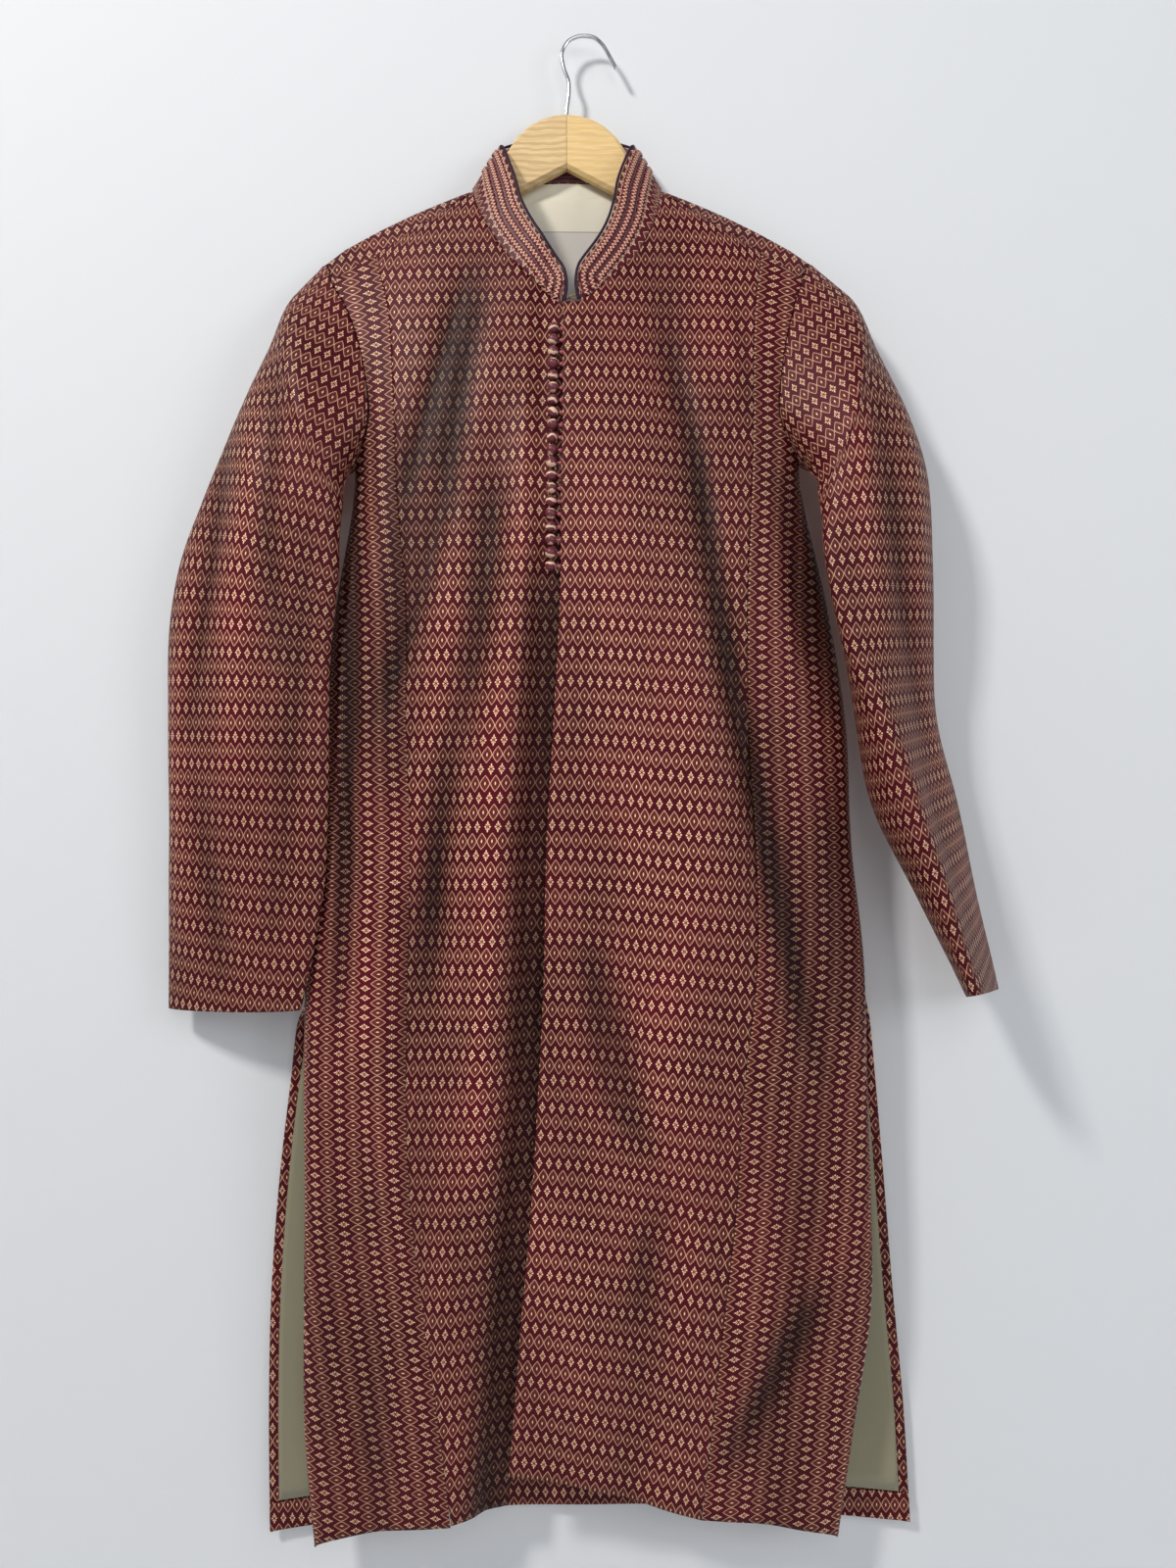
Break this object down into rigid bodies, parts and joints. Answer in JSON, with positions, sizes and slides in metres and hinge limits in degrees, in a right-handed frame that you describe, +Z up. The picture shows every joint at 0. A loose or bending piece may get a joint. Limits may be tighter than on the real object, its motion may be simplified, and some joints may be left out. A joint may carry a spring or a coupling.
{
  "type": "sherwani coat on a hanger",
  "caption": "Long lined brocade coat with a banded stand collar, princess seams, ball buttons, long sleeves and side slits, hanging on a wooden hanger with a wire hook.",
  "frame": {"origin": "the inside top of the hanger's hook, where a nail, pin or rail carries it", "axes": "+Z up, the coat's front faces -Y and its back lies near the wall at +Y, +X is the wearer's left"},
  "size_m": [0.7209, 0.1164, 1.3124],
  "materials": {
    "brocade": "satin woven",
    "lining": "satin",
    "piping": "matte",
    "braid": "thread",
    "clasp": "polished",
    "wood": "clear lacquer",
    "wire": "polished"
  },
  "bodies": {
    "root": {"front_right": "brocade", "front_left": "brocade", "side_front_right": "brocade", "side_front_left": "brocade", "back": "brocade", "back_lining": "lining", "back_hem_facing": "brocade", "sleeve_right": "brocade", "sleeve_left": "brocade", "collar_outer": "brocade", "collar_inner": "brocade", "collar_piping": "piping", "collar_braid_1": "braid", "collar_braid_2": "braid", "collar_braid_3": "braid", "collar_hook": "clasp", "collar_eye": "clasp", "button_01": "brocade", "button_02": "brocade", "button_03": "brocade", "button_04": "brocade", "button_05": "brocade", "button_06": "brocade", "button_07": "brocade", "button_08": "brocade", "button_09": "brocade", "button_10": "brocade", "button_11": "brocade", "button_12": "brocade", "button_13": "brocade", "button_14": "brocade", "button_15": "brocade", "button_16": "brocade", "button_17": "brocade", "button_18": "brocade", "button_19": "brocade", "button_20": "brocade", "button_loops": "brocade", "hanger_right": "wood", "hanger_left": "wood", "hook": "wire"}
  },
  "joints": []
}
